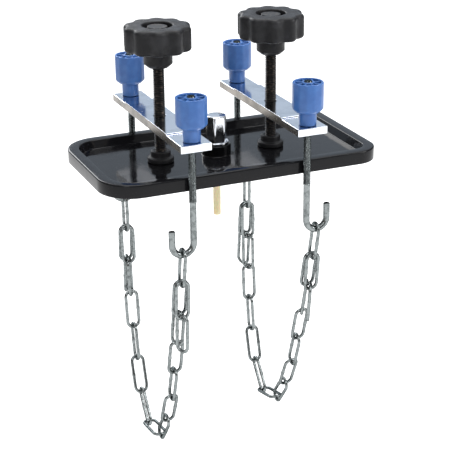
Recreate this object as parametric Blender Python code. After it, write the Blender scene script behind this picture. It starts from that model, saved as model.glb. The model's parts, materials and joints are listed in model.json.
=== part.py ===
"""Clamp-on reservoir cover plate: a tray-like plate with a hose fitting and a dip tube, held down by two
screw clamps whose hook bolts carry a loop of chain each.

The origin is the centre of the gasket's underside, the face that seats on a reservoir's rim.
X runs along the plate, Y across it (front is -Y) and Z up.
"""

import math

import bmesh
import bpy
from mathutils import Matrix, Vector

MM = 0.001
FULL_TURN = 2 * math.pi
QUARTER_TURN = FULL_TURN / 4

# Clearances
SEAT_GAP = 0.3 * MM  # between faces that rest on each other
BORE_GAP = 0.3 * MM  # radial, round every shaft in its hole

# Facets
SMOOTH_ANGLE = math.radians(35)
ROUND_SIDES = 24
SHAFT_SIDES = 16
CORNER_STEPS = 8
EDGE_STEPS = 6

# Cover plate and gasket
PLATE_LEFT_REACH = 95.6 * MM  # from the hose fitting's axis
PLATE_RIGHT_REACH = 100 * MM
PLATE_WIDTH = 107 * MM
PLATE_SIDE_HEIGHT = 9 * MM
LEFT_CORNER_RADIUS = 24 * MM
RIGHT_CORNER_RADIUS = 17 * MM
RIM_WIDTH = 7.5 * MM
RIM_EDGE_ROUND = 0.9 * MM
TRAY_DEPTH = 5.5 * MM
TRAY_WALL_SLOPE = 1.6 * MM
BOSS_RADIUS = 10 * MM
BOSS_HEIGHT = 7.5 * MM
GASKET_THICKNESS = 3 * MM
GASKET_INSET = 10 * MM

# Hose fitting, its nut and washer, and the dip tube
FITTING_ACROSS_FLATS = 13 * MM
FITTING_HEX_HEIGHT = 18 * MM
FITTING_EDGE = 0.8 * MM
FLANGE_LIP = 0.9 * MM  # past the hexagon's corners
FLANGE_THICKNESS = 1.4 * MM
STEM_RADIUS = 5.6 * MM
STEM_BELOW_SEAT = 9 * MM
SPIGOT_RADIUS = 4.4 * MM
SPIGOT_LENGTH = 8 * MM
TUBE_RADIUS = 2.65 * MM
TUBE_WALL = 0.8 * MM
TUBE_REACH = 37.7 * MM
TUBE_INSERTION = 14 * MM
WASHER_RADIUS = 9.8 * MM
WASHER_THICKNESS = 1.6 * MM
LOCKNUT_ACROSS_FLATS = 17 * MM
LOCKNUT_HEIGHT = 5 * MM
GASKET_HOLE_ROOM = 3.2 * MM  # round the washer

# Clamp bars
BAR_X = 40.7 * MM
BAR_WIDTH = 21 * MM
BAR_THICKNESS = 6 * MM
BAR_END = 8 * MM  # past the hook bolts' axes
BAR_STEP = 1 * MM
BAR_STEP_INSET = 17.5 * MM  # from the hook bolts' axes
BAR_EDGE = 0.5 * MM
BAR_ABOVE_RIM = 20.7 * MM  # rim top to the bar's underside
HOOK_CLEARANCE = 1 * MM  # plate's side to the hook bolts

# Clamp screws, feet and star knobs
SCREW_RADIUS = 3.9 * MM
SCREW_HEAD_ACROSS_FLATS = 13 * MM
SCREW_HEAD_HEIGHT = 5 * MM
SCREW_TIP = 1 * MM
FOOT_RADIUS = 9 * MM
FOOT_DISC_HEIGHT = 3 * MM
FOOT_HUB_RADIUS = 6.8 * MM
FOOT_HEIGHT = 8 * MM
FOOT_SOCKET_FLOOR = 2.5 * MM
KNOB_ABOVE_RIM = 71.5 * MM  # rim top to the knob body's underside
KNOB_RADIUS = 22.7 * MM
KNOB_SCALLOP = 1.1 * MM
KNOB_LOBES = 10
KNOB_FACETS_PER_LOBE = 6
KNOB_HEIGHT = 16.5 * MM
KNOB_EDGE = 1.8 * MM
KNOB_RECESS_RADIUS = 10 * MM
KNOB_RECESS_DEPTH = 6.2 * MM
KNOB_HUB_RADIUS = 9.6 * MM
KNOB_HUB_HEIGHT = 9 * MM
KNOB_CONE_RADIUS = 6.5 * MM
KNOB_CONE_HEIGHT = 2.6 * MM

# Thumb nuts
NUT_NECK_RADIUS = 5.8 * MM
NUT_NECK_HEIGHT = 9 * MM
NUT_RADIUS = 10.25 * MM
NUT_HEIGHT = 28.7 * MM
NUT_SHOULDER = 2.2 * MM
NUT_EDGE = 0.5 * MM
NUT_WALL = 1.7 * MM
NUT_POCKET_DEPTH = 8 * MM
NUT_BOSS_RADIUS = 4.4 * MM
NUT_RIB = 1.1 * MM
NUT_RIBS = 8
POCKET_STEPS = 3

# Hook bolts
ROD_RADIUS = 2.5 * MM
PLAIN_RADIUS = 2.2 * MM
ROD_ABOVE_NUT = 0.6 * MM
THREAD_END_Z = -3 * MM
HOOK_BEND_RADIUS = 7.5 * MM
HOOK_BEND_STEPS = 10
HOOK_TIP_RISE = 10 * MM  # straight part of the tip above the bend
LEFT_HOOK_BOTTOM = -40.7 * MM
RIGHT_HOOK_BOTTOM = -38.4 * MM
HOOK_SIDES = 10

# Chains
WIRE_RADIUS = 1.2 * MM
LINK_INNER_LENGTH = 25.4 * MM
LINK_ROOM = 1.8 * MM  # a link is this much wider inside than the two crowns that can lie in it
LINK_CROWN_STEPS = 5
LINK_SIDES = 6
LINK_COUNT = 15
LEFT_LOWEST_LINK = 7.13  # past the middle link, so the chain hangs a little to the back
RIGHT_LOWEST_LINK = 7.27
TAIL_COUNT = 2
INTERLOCK_GAP = 0.5 * MM
PASS_LIFT = 0.7 * MM  # how much higher two crowns side by side lie in an end link than one alone
STEEPEST_STEP = 60.0  # upper bound for the search for the chain's slope
UPRIGHT_TURN = QUARTER_TURN  # every other link stands in the loop's plane
FLAT_TURN = 0
BESIDE_TURN = math.radians(120)  # links beside a tail turn further, so that both hang free
SOLVE_STEPS = 60

# Sizes worked out from those above
FITTING_CORNER_RADIUS = FITTING_ACROSS_FLATS / 2 / math.cos(FULL_TURN / 12)
FLANGE_RADIUS = FITTING_CORNER_RADIUS + FLANGE_LIP
GASKET_HOLE_RADIUS = WASHER_RADIUS + GASKET_HOLE_ROOM
HOOK_Y = PLATE_WIDTH / 2 + HOOK_CLEARANCE + ROD_RADIUS
BAR_LENGTH = 2 * (HOOK_Y + BAR_END)
BAR_STEP_Y = HOOK_Y - BAR_STEP_INSET
PASS_SIDE = WIRE_RADIUS + SEAT_GAP  # two crowns side by side sit this far off a link's middle
LINK_INNER_WIDTH = 4 * WIRE_RADIUS + LINK_ROOM
BEND_ROOM = 2.5 * WIRE_RADIUS  # extra room between crowns where the chain turns sharply

# Levels worked out from the sizes above
SEAT_Z = GASKET_THICKNESS + SEAT_GAP
RIM_Z = SEAT_Z + PLATE_SIDE_HEIGHT
TRAY_Z = RIM_Z - TRAY_DEPTH
BOSS_Z = TRAY_Z + BOSS_HEIGHT
BAR_Z = RIM_Z + BAR_ABOVE_RIM
NUT_Z = BAR_Z + BAR_THICKNESS - BAR_STEP + SEAT_GAP
KNOB_Z = RIM_Z + KNOB_ABOVE_RIM
ROD_TOP_Z = NUT_Z + NUT_HEIGHT + ROD_ABOVE_NUT

PALETTE = {
    "gloss_black": ((0.012, 0.012, 0.014), 0.18, 0.0),
    "black_rubber": ((0.02, 0.02, 0.02), 0.85, 0.0),
    "matte_black": ((0.03, 0.03, 0.033), 0.55, 0.0),
    "polished_steel": ((0.82, 0.81, 0.79), 0.12, 1.0),
    "black_oxide": ((0.05, 0.05, 0.05), 0.4, 1.0),
    "zinc": ((0.55, 0.6, 0.6), 0.28, 1.0),
    "blue_plastic": ((0.05, 0.11, 0.4), 0.42, 0.0),
    "tube_plastic": ((0.72, 0.66, 0.4), 0.35, 0.0),
    "fibre": ((0.35, 0.08, 0.05), 0.7, 0.0),
}


def clear_scene():
    for old in list(bpy.data.objects):
        bpy.data.objects.remove(old)


def finish_named(finish):
    """The Principled material of one finish, made once."""
    made = bpy.data.materials.get(finish)
    if made:
        return made
    colour, roughness, metallic = PALETTE[finish]
    made = bpy.data.materials.new(finish)
    made.use_nodes = True
    shader = made.node_tree.nodes["Principled BSDF"]
    shader.inputs["Base Color"].default_value = (*colour, 1)
    shader.inputs["Roughness"].default_value = roughness
    shader.inputs["Metallic"].default_value = metallic
    return made


def add_object(name, mesh, finish, at=(0, 0, 0), parent=None, turn=None):
    """One named piece with its own material, placed under its parent."""
    piece = bpy.data.objects.new(name, mesh)
    bpy.context.scene.collection.objects.link(piece)
    piece.parent = parent
    piece.location = at
    if turn is not None:
        piece.rotation_mode = "QUATERNION"
        piece.rotation_quaternion = turn.to_quaternion()
    if not mesh.materials:
        mesh.materials.append(finish_named(finish))
    return piece


def add_pivot(name, at, parent=None):
    """An empty on a joint's axis."""
    pivot = bpy.data.objects.new(name, None)
    bpy.context.scene.collection.objects.link(pivot)
    pivot.parent = parent
    pivot.location = at
    return pivot


# ---------------------------------------------------------------- shapes


def mesh_of_rings(name, rings, capped):
    """Joins rings of points, all of one count. Capped rings make a solid bar, uncapped ones close on
    themselves like a tyre."""
    shape = bmesh.new()
    loops = [[shape.verts.new(point) for point in ring] for ring in rings]
    count = len(rings[0])
    pairs = list(zip(loops, loops[1:]))
    if capped:
        shape.faces.new(loops[0])
        shape.faces.new(loops[-1])
    else:
        pairs.append((loops[-1], loops[0]))
    for low, high in pairs:
        for i in range(count):
            j = (i + 1) % count
            shape.faces.new((low[i], low[j], high[j], high[i]))
    bmesh.ops.recalc_face_normals(shape, faces=shape.faces)
    mesh = bpy.data.meshes.new(name)
    shape.to_mesh(mesh)
    shape.free()
    mesh.shade_smooth()
    mesh.set_sharp_from_angle(angle=SMOOTH_ANGLE)
    return mesh


def circle(radius, z, sides):
    """A ring of points round Z."""
    angles = [FULL_TURN * i / sides for i in range(sides)]
    return [Vector((radius * math.cos(a), radius * math.sin(a), z)) for a in angles]


def hexagon(across_flats, z, sides, limit=None):
    """A hexagon drawn with the points of a circle, so that it joins to round rings. A limit trims its
    corners, as a chamfer does."""
    ring = []
    side_turn = FULL_TURN / 6
    for i in range(sides):
        angle = FULL_TURN * i / sides
        from_flat = angle % side_turn - side_turn / 2
        radius = across_flats / 2 / math.cos(from_flat)
        if limit:
            radius = min(radius, limit)
        ring.append(Vector((radius * math.cos(angle), radius * math.sin(angle), z)))
    return ring


def turned(name, profile, sides=ROUND_SIDES, capped=True):
    """A shape turned round Z from (radius, height) pairs."""
    return mesh_of_rings(name, [circle(radius, z, sides) for radius, z in profile], capped)


def plate_outline(z, inset=0.0):
    """The plate's outline: a rectangle whose left corners are rounder than its right ones."""
    half_width = PLATE_WIDTH / 2 - inset
    right = (1, PLATE_RIGHT_REACH, RIGHT_CORNER_RADIUS)
    left = (-1, PLATE_LEFT_REACH, LEFT_CORNER_RADIUS)
    points = []
    for number, (side_y, end) in enumerate(((1, right), (1, left), (-1, left), (-1, right))):
        side_x, reach, full_radius = end
        radius = full_radius - inset
        middle = Vector((side_x * (reach - full_radius), side_y * (half_width - radius), z))
        for step in range(CORNER_STEPS + 1):
            angle = QUARTER_TURN * (number + step / CORNER_STEPS)
            points.append(middle + radius * Vector((math.cos(angle), math.sin(angle), 0)))
    return with_edge_points(points)


def with_edge_points(corner_points):
    """Adds points along the straight edges between the corner arcs."""
    arc = CORNER_STEPS + 1
    points = []
    for i, point in enumerate(corner_points):
        points.append(point)
        if i % arc == arc - 1:
            following = corner_points[(i + 1) % len(corner_points)]
            points.extend(point.lerp(following, k / EDGE_STEPS) for k in range(1, EDGE_STEPS))
    return points


def round_inside(outline, radius, z):
    """A circle whose points face those of an outline round it."""
    ring = []
    for point in outline:
        angle = math.atan2(point.y, point.x)
        ring.append(Vector((radius * math.cos(angle), radius * math.sin(angle), z)))
    return ring


def swept(name, path, across, sides, closed):
    """A round wire along a flat path of (point, radius) pairs. across is the path's plane normal."""
    rings = []
    count = len(path)
    for i, (point, radius) in enumerate(path):
        before = path[i - 1][0] if closed or i else point
        after = path[(i + 1) % count][0] if closed or i + 1 < count else point
        sideways = (after - before).normalized().cross(across)
        ring = []
        for k in range(sides):
            angle = FULL_TURN * k / sides
            ring.append(point + radius * (math.cos(angle) * across + math.sin(angle) * sideways))
        rings.append(ring)
    return mesh_of_rings(name, rings, capped=not closed)


def cut_by(piece, cutter):
    """Cuts a hole in a piece with another object, which stays as a guide."""
    cutter.hide_render = True
    cutter.display_type = "WIRE"
    cut = piece.modifiers.new(cutter.name, "BOOLEAN")
    cut.operation = "DIFFERENCE"
    cut.solver = "EXACT"
    cut.object = cutter
    return piece


# ---------------------------------------------------------------- plate, gasket and fitting


def cover_plate_mesh():
    """A tray with a flat rim, sloped inner walls and a raised boss round the fitting's hole."""
    bore = STEM_RADIUS + BORE_GAP
    wall_top = RIM_WIDTH + RIM_EDGE_ROUND
    wall_foot = wall_top + TRAY_WALL_SLOPE
    outer = plate_outline(SEAT_Z)
    rings = [
        outer,
        plate_outline(RIM_Z - RIM_EDGE_ROUND),
        plate_outline(RIM_Z, RIM_EDGE_ROUND),
        plate_outline(RIM_Z, RIM_WIDTH),
        plate_outline(RIM_Z - RIM_EDGE_ROUND, wall_top),
        plate_outline(TRAY_Z, wall_foot),
        round_inside(outer, BOSS_RADIUS, TRAY_Z),
        round_inside(outer, BOSS_RADIUS, BOSS_Z - RIM_EDGE_ROUND),
        round_inside(outer, BOSS_RADIUS - RIM_EDGE_ROUND, BOSS_Z),
        round_inside(outer, bore, BOSS_Z),
        round_inside(outer, bore, SEAT_Z),
    ]
    return mesh_of_rings("cover_plate", rings, capped=False)


def gasket_mesh():
    """A flat rubber sheet with a hole that clears the fitting's nut."""
    low, high = plate_outline(0, GASKET_INSET), plate_outline(GASKET_THICKNESS, GASKET_INSET)
    rings = [
        low,
        high,
        round_inside(low, GASKET_HOLE_RADIUS, GASKET_THICKNESS),
        round_inside(low, GASKET_HOLE_RADIUS, 0),
    ]
    return mesh_of_rings("rubber_gasket", rings, capped=False)


def hose_fitting_mesh():
    """A hexagon column on a flange, with a threaded stem and a spigot that holds the tube from below."""
    sides = ROUND_SIDES
    flange_z = BOSS_Z + SEAT_GAP
    hex_z = flange_z + FLANGE_THICKNESS
    top_z = hex_z + FITTING_HEX_HEIGHT
    stem_z = SEAT_Z - STEM_BELOW_SEAT
    spigot_z = stem_z - SPIGOT_LENGTH
    bore = TUBE_RADIUS + BORE_GAP
    bore_top = spigot_z + TUBE_INSERTION + SEAT_GAP
    rings = [
        circle(bore, bore_top, sides),
        circle(bore, spigot_z, sides),
        circle(SPIGOT_RADIUS, spigot_z, sides),
        circle(SPIGOT_RADIUS, stem_z, sides),
        circle(STEM_RADIUS, stem_z, sides),
        circle(STEM_RADIUS, flange_z, sides),
        circle(FLANGE_RADIUS, flange_z, sides),
        circle(FLANGE_RADIUS, hex_z - FITTING_EDGE, sides),
        circle(FLANGE_RADIUS - FITTING_EDGE, hex_z, sides),
        hexagon(FITTING_ACROSS_FLATS, hex_z, sides),
        hexagon(FITTING_ACROSS_FLATS, top_z - FITTING_EDGE, sides, FITTING_CORNER_RADIUS - FITTING_EDGE / 2),
        circle(FITTING_ACROSS_FLATS / 2 - FITTING_EDGE / 2, top_z, sides),
    ]
    return mesh_of_rings("hose_fitting", rings, capped=True)


def locknut_mesh(top_z):
    """A hexagon nut on the fitting's stem."""
    sides = ROUND_SIDES
    bore = STEM_RADIUS + BORE_GAP
    low_z = top_z - LOCKNUT_HEIGHT
    rings = [
        circle(bore, top_z, sides),
        circle(bore, low_z, sides),
        hexagon(LOCKNUT_ACROSS_FLATS, low_z, sides),
        hexagon(LOCKNUT_ACROSS_FLATS, top_z, sides),
    ]
    return mesh_of_rings("fitting_locknut", rings, capped=False)


def build_cover():
    """The pieces that stay still: plate, gasket, fitting, washer, nut and tube."""
    add_object("cover_plate", cover_plate_mesh(), "gloss_black")
    add_object("rubber_gasket", gasket_mesh(), "black_rubber")
    add_object("hose_fitting", hose_fitting_mesh(), "polished_steel")
    washer_top = SEAT_Z - SEAT_GAP
    washer_low = washer_top - WASHER_THICKNESS
    bore = STEM_RADIUS + BORE_GAP
    washer = [
        (bore, washer_top),
        (bore, washer_low),
        (WASHER_RADIUS, washer_low),
        (WASHER_RADIUS, washer_top),
    ]
    add_object("sealing_washer", turned("sealing_washer", washer, capped=False), "fibre")
    add_object("fitting_locknut", locknut_mesh(washer_low - SEAT_GAP), "polished_steel")
    tube_top = SEAT_Z - STEM_BELOW_SEAT - SPIGOT_LENGTH + TUBE_INSERTION
    inner = TUBE_RADIUS - TUBE_WALL
    tube = [(inner, tube_top), (inner, -TUBE_REACH), (TUBE_RADIUS, -TUBE_REACH), (TUBE_RADIUS, tube_top)]
    add_object("dip_tube", turned("dip_tube", tube, SHAFT_SIDES, capped=False), "tube_plastic")


# ---------------------------------------------------------------- clamp


def clamp_bar_mesh():
    """A flat bar whose ends are milled down a step, as a closed side view drawn out to the bar's width."""
    half, step = BAR_LENGTH / 2, BAR_STEP_Y
    low, high, end_high = 0, BAR_THICKNESS, BAR_THICKNESS - BAR_STEP
    outline = [
        (-half, low),
        (half, low),
        (half, end_high),
        (step, end_high),
        (step, high),
        (-step, high),
        (-step, end_high),
        (-half, end_high),
    ]
    rings = [[Vector((x, y, z)) for y, z in outline] for x in (-BAR_WIDTH / 2, BAR_WIDTH / 2)]
    return mesh_of_rings("clamp_bar", rings, capped=True)


def hole_cutter(name, radius, at, parent):
    """A round cutter that passes through a bar from its underside."""
    profile = [(radius, -BAR_THICKNESS), (radius, 2 * BAR_THICKNESS)]
    return add_object(name, turned(name, profile, SHAFT_SIDES), "zinc", at, parent)


def add_clamp_bar(side, parent, at):
    """The bar, with a hole for the clamp screw and one for each hook bolt."""
    name = f"{side}_clamp_bar"
    bar = add_object(name, clamp_bar_mesh(), "polished_steel", at, parent)
    edge = bar.modifiers.new("eased_edges", "BEVEL")
    edge.width = BAR_EDGE
    edge.segments = 1
    holes = (
        ("screw", SCREW_RADIUS + BORE_GAP, 0),
        ("front", ROD_RADIUS + BORE_GAP, -HOOK_Y),
        ("back", ROD_RADIUS + BORE_GAP, HOOK_Y),
    )
    for label, radius, y in holes:
        cut_by(bar, hole_cutter(f"{name}_{label}_cutter", radius, (0, y, 0), bar))
    return bar


def clamp_screw_mesh():
    """A hexagon-headed screw, its head up in the knob and its tip in the foot. Its origin is the tray's
    floor."""
    sides = ROUND_SIDES
    tip_z = FOOT_SOCKET_FLOOR + SEAT_GAP * 2
    head_z = KNOB_Z + KNOB_HEIGHT - KNOB_RECESS_DEPTH + SEAT_GAP - TRAY_Z
    head_top = head_z + SCREW_HEAD_HEIGHT
    rings = [
        circle(SCREW_RADIUS - SCREW_TIP, tip_z, sides),
        circle(SCREW_RADIUS, tip_z + SCREW_TIP, sides),
        circle(SCREW_RADIUS, head_z, sides),
        hexagon(SCREW_HEAD_ACROSS_FLATS, head_z, sides),
        hexagon(SCREW_HEAD_ACROSS_FLATS, head_top - SCREW_TIP / 2, sides),
        circle(SCREW_HEAD_ACROSS_FLATS / 2 - SCREW_TIP / 2, head_top, sides),
    ]
    return mesh_of_rings("clamp_screw", rings, capped=True)


def clamp_foot_mesh():
    """A round pad with a socket for the screw's tip. Its origin is the tray floor."""
    socket = SCREW_RADIUS + BORE_GAP
    socket_z = SEAT_GAP + FOOT_SOCKET_FLOOR
    profile = [
        (FOOT_RADIUS - SCREW_TIP, SEAT_GAP),
        (FOOT_RADIUS, SEAT_GAP + SCREW_TIP),
        (FOOT_RADIUS, FOOT_DISC_HEIGHT),
        (FOOT_HUB_RADIUS, FOOT_DISC_HEIGHT + SCREW_TIP),
        (FOOT_HUB_RADIUS, FOOT_HEIGHT - SCREW_TIP),
        (FOOT_HUB_RADIUS - SCREW_TIP, FOOT_HEIGHT),
        (socket, FOOT_HEIGHT),
        (socket, socket_z),
    ]
    return turned("clamp_foot", profile)


def star(radius, z, lobes_share):
    """A ring with lobes, drawn as a circle where lobes_share is 0."""
    sides = KNOB_LOBES * KNOB_FACETS_PER_LOBE
    ring = []
    for i in range(sides):
        angle = FULL_TURN * i / sides
        reach = radius - lobes_share * KNOB_SCALLOP * (1 - math.cos(KNOB_LOBES * angle))
        ring.append(Vector((reach * math.cos(angle), reach * math.sin(angle), z)))
    return ring


def star_knob_mesh():
    """A lobed knob on a hub, hollow on top for the screw's head. Its origin is its body's underside."""
    bore = SCREW_RADIUS + BORE_GAP
    low_z = -KNOB_HUB_HEIGHT - KNOB_CONE_HEIGHT
    floor_z = KNOB_HEIGHT - KNOB_RECESS_DEPTH
    rings = [
        star(bore, low_z, 0),
        star(KNOB_CONE_RADIUS, low_z, 0),
        star(KNOB_HUB_RADIUS, -KNOB_HUB_HEIGHT, 0),
        star(KNOB_HUB_RADIUS, 0, 0),
        star(KNOB_RADIUS - KNOB_EDGE, 0, 1),
        star(KNOB_RADIUS, KNOB_EDGE, 1),
        star(KNOB_RADIUS, KNOB_HEIGHT - KNOB_EDGE, 1),
        star(KNOB_RADIUS - KNOB_EDGE, KNOB_HEIGHT, 1),
        star(KNOB_RECESS_RADIUS, KNOB_HEIGHT, 0),
        star(KNOB_RECESS_RADIUS, floor_z, 0),
        star(bore, floor_z, 0),
    ]
    return mesh_of_rings("star_knob", rings, capped=False)


def pocket_mesh():
    """Wedges between the ribs in a thumb nut's open top, as one cutter. Its origin is the nut's base."""
    shape = bmesh.new()
    inner, outer = NUT_BOSS_RADIUS, NUT_RADIUS - NUT_WALL
    low, high = NUT_HEIGHT - NUT_POCKET_DEPTH, NUT_HEIGHT + NUT_WALL
    for rib in range(NUT_RIBS):
        middle = FULL_TURN * (rib + 0.5) / NUT_RIBS
        outline = []
        for radius, order in ((inner, 1), (outer, -1)):
            spread = math.pi / NUT_RIBS - math.asin(NUT_RIB / 2 / radius)
            for step in range(POCKET_STEPS + 1):
                angle = middle + order * spread * (2 * step / POCKET_STEPS - 1)
                outline.append((radius * math.cos(angle), radius * math.sin(angle)))
        bottom = [shape.verts.new((x, y, low)) for x, y in outline]
        top = [shape.verts.new((x, y, high)) for x, y in outline]
        shape.faces.new(bottom)
        shape.faces.new(top)
        for i, corner in enumerate(bottom):
            j = (i + 1) % len(bottom)
            shape.faces.new((corner, bottom[j], top[j], top[i]))
    bmesh.ops.recalc_face_normals(shape, faces=shape.faces)
    mesh = bpy.data.meshes.new("pockets")
    shape.to_mesh(mesh)
    shape.free()
    return mesh


def thumb_nut_mesh():
    """A thumb nut on a neck, with a ribbed open top. Its origin is its base."""
    bore = ROD_RADIUS + BORE_GAP
    profile = [
        (bore, 0),
        (NUT_NECK_RADIUS, 0),
        (NUT_NECK_RADIUS, NUT_NECK_HEIGHT),
        (NUT_RADIUS - NUT_SHOULDER, NUT_NECK_HEIGHT),
        (NUT_RADIUS, NUT_NECK_HEIGHT + NUT_SHOULDER),
        (NUT_RADIUS, NUT_HEIGHT - NUT_EDGE),
        (NUT_RADIUS - NUT_EDGE, NUT_HEIGHT),
        (bore, NUT_HEIGHT),
    ]
    return turned("thumb_nut", profile, capped=False)


def add_thumb_nut(name, mesh, pockets, parent, at):
    """One thumb nut with its pockets cut."""
    nut = add_object(name, mesh, "blue_plastic", at, parent)
    cutter = add_object(f"{name}_pockets", pockets, "blue_plastic", parent=nut)
    return cut_by(nut, cutter)


def hook_bolt_mesh(bottom_z, outward):
    """A rod with a thread on top and a hook below that opens outward. Its origin is the bend's centre."""
    bend_z = bottom_z + PLAIN_RADIUS + HOOK_BEND_RADIUS
    shank_x = -outward * HOOK_BEND_RADIUS
    path = [
        (Vector((shank_x, 0, ROD_TOP_Z - bend_z)), ROD_RADIUS),
        (Vector((shank_x, 0, THREAD_END_Z - bend_z)), ROD_RADIUS),
        (Vector((shank_x, 0, THREAD_END_Z - bend_z - ROD_RADIUS + PLAIN_RADIUS)), PLAIN_RADIUS),
    ]
    for step in range(HOOK_BEND_STEPS + 1):
        angle = math.pi * step / HOOK_BEND_STEPS
        bend = Vector((shank_x * math.cos(angle), 0, -HOOK_BEND_RADIUS * math.sin(angle)))
        path.append((bend, PLAIN_RADIUS))
    path.append((Vector((-shank_x, 0, HOOK_TIP_RISE)), PLAIN_RADIUS))
    return swept("hook_bolt", path, Vector((0, 1, 0)), HOOK_SIDES, closed=False)


# ---------------------------------------------------------------- chain


def link_mesh():
    """An oval link of round wire. Its length is along Z, its width along X."""
    crown = LINK_INNER_WIDTH / 2 + WIRE_RADIUS
    straight = (LINK_INNER_LENGTH - LINK_INNER_WIDTH) / 2
    path = []
    for end in (1, -1):
        for step in range(LINK_CROWN_STEPS + 1):
            angle = math.pi * step / LINK_CROWN_STEPS
            offset = Vector((crown * math.cos(angle), 0, crown * math.sin(angle)))
            path.append((end * (offset + Vector((0, 0, straight))), WIRE_RADIUS))
    return swept("chain_link", path, Vector((0, 1, 0)), LINK_SIDES, closed=True)


def hanging_angles(slope_step, lowest):
    """The slope of each link of a hanging chain: each link holds up one more link than the one below."""
    return [math.atan(slope_step * (i - lowest)) for i in range(LINK_COUNT)]


def link_spans(angles):
    """Each link's reach from joint to joint, shorter where the chain turns and its crowns need room."""
    half_lap = [WIRE_RADIUS + INTERLOCK_GAP / 2] * (LINK_COUNT + 1)
    for i in range(1, LINK_COUNT):
        bend = angles[i] - angles[i - 1]
        half_lap[i] += BEND_ROOM * math.sin(bend / 2) ** 2
    outer = LINK_INNER_LENGTH + 2 * WIRE_RADIUS
    return [outer - half_lap[i] - half_lap[i + 1] for i in range(LINK_COUNT)], half_lap


def hanging_links(lowest):
    """(middle, direction) of each link in the YZ plane, from the front hook's trough to the back one's.

    The hanging curve is turned until its ends are level. The last result is the plumb line, turned with it.
    """
    reach = 2 * (HOOK_Y - PASS_SIDE)
    flat, steep = 0.0, STEEPEST_STEP
    for _ in range(SOLVE_STEPS):
        slope_step = (flat + steep) / 2
        angles = hanging_angles(slope_step, lowest)
        spans, laps = link_spans(angles)
        across = sum(span * math.cos(angle) for span, angle in zip(spans, angles))
        rise = sum(span * math.sin(angle) for span, angle in zip(spans, angles))
        if math.hypot(across, rise) > reach:
            flat = slope_step
        else:
            steep = slope_step
    lean = math.atan2(rise, across)
    angles = [angle - lean for angle in angles]
    joint = Vector((0, -HOOK_Y, PLAIN_RADIUS + WIRE_RADIUS + SEAT_GAP - laps[0]))
    links = []
    for i, (span, angle) in enumerate(zip(spans, angles)):
        if i in (1, LINK_COUNT - 1):
            joint = joint + Vector((0, PASS_SIDE, PASS_LIFT if i == 1 else -PASS_LIFT))
        direction = Vector((0, math.cos(angle), math.sin(angle)))
        following = joint + span * direction
        centre = (joint + following) / 2 + direction * (laps[i + 1] - laps[i]) / 2
        links.append((centre, direction))
        joint = following
    return links, Vector((0, -math.sin(lean), -math.cos(lean)))


def link_turn(direction, turn, mirror):
    """The rotation of a link that runs along a direction in the YZ plane and is turned about it."""
    level = Vector((0, -direction.z, direction.y))
    width = (mirror * math.cos(turn) * Vector((1, 0, 0)) + math.sin(turn) * level).normalized()
    return Matrix((width, direction.cross(width), direction)).transposed()


def tail_links(end_centre, end_direction, outward, plumb):
    """(middle, direction) of the spare links that hang from an end link, on its outer side."""
    crown = end_centre + end_direction * (LINK_INNER_LENGTH / 2 + WIRE_RADIUS)
    lap = WIRE_RADIUS + INTERLOCK_GAP / 2
    span = LINK_INNER_LENGTH + 2 * WIRE_RADIUS - 2 * lap
    joint = crown - end_direction * lap + Vector((0, outward * PASS_SIDE, PASS_LIFT))
    return joint, [(joint + plumb * span * (i + 0.5), plumb) for i in range(TAIL_COUNT)]


def add_chain(side, mirror, pivot, lowest):
    """A chain's links under its swing pivot, and two spare links under a pivot at each end."""
    shared = link_mesh()
    drop = Vector((0, HOOK_Y, -HOOK_BEND_RADIUS))
    links, plumb = hanging_links(lowest)
    last = len(links) - 1
    for i, (centre, direction) in enumerate(links):
        turn = UPRIGHT_TURN if i % 2 == 0 else FLAT_TURN
        if i in (TAIL_COUNT, last - TAIL_COUNT):
            turn = BESIDE_TURN
        name = f"{side}_chain_link_{i + 1:02d}"
        rotation = link_turn(direction, turn, mirror)
        add_object(name, shared, "zinc", centre + drop, pivot, rotation)
    for label, (centre, direction), outward in (("front", links[0], -1), ("back", links[last], 1)):
        down = direction if label == "front" else -direction
        joint, spare = tail_links(centre, down, outward, plumb)
        tail = add_pivot(f"{side}_{label}_tail_swing", joint + drop, pivot)
        for i, (middle, run) in enumerate(spare):
            turn = FLAT_TURN if i % 2 == 0 else BESIDE_TURN
            if label == "back":
                turn = -turn
            name = f"{side}_{label}_tail_link_{i + 1}"
            add_object(name, shared, "zinc", middle - joint, tail, link_turn(run, turn, mirror))


# ---------------------------------------------------------------- one clamp set


def build_clamp(side, outward, hook_bottom, lowest_link):
    """One bar with its screw, knob, foot, nuts, hook bolts and chain. outward is -1 on the left."""
    swivel = add_pivot(f"{side}_clamp_swivel", (outward * BAR_X, 0, TRAY_Z))
    add_object(f"{side}_clamp_foot", clamp_foot_mesh(), "matte_black", parent=swivel)
    screw = add_object(f"{side}_clamp_screw", clamp_screw_mesh(), "black_oxide", parent=swivel)
    knob_at = (0, 0, KNOB_Z - TRAY_Z)
    add_object(f"{side}_star_knob", star_knob_mesh(), "matte_black", knob_at, screw)
    bar = add_clamp_bar(side, swivel, (0, 0, BAR_Z - TRAY_Z))
    nut_mesh, pockets = thumb_nut_mesh(), pocket_mesh()
    hook_mesh = hook_bolt_mesh(hook_bottom, outward)
    bend_z = hook_bottom + PLAIN_RADIUS + HOOK_BEND_RADIUS
    hooks = {}
    for label, y in (("front", -HOOK_Y), ("back", HOOK_Y)):
        nut_at = (0, y, NUT_Z - BAR_Z)
        add_thumb_nut(f"{side}_{label}_thumb_nut", nut_mesh, pockets, bar, nut_at)
        hook_at = (outward * HOOK_BEND_RADIUS, y, bend_z - BAR_Z)
        hooks[label] = add_object(f"{side}_{label}_hook_bolt", hook_mesh, "zinc", hook_at, bar)
    swing = add_pivot(f"{side}_chain_swing", (0, 0, 0), hooks["front"])
    add_chain(side, -outward, swing, lowest_link)


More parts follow.
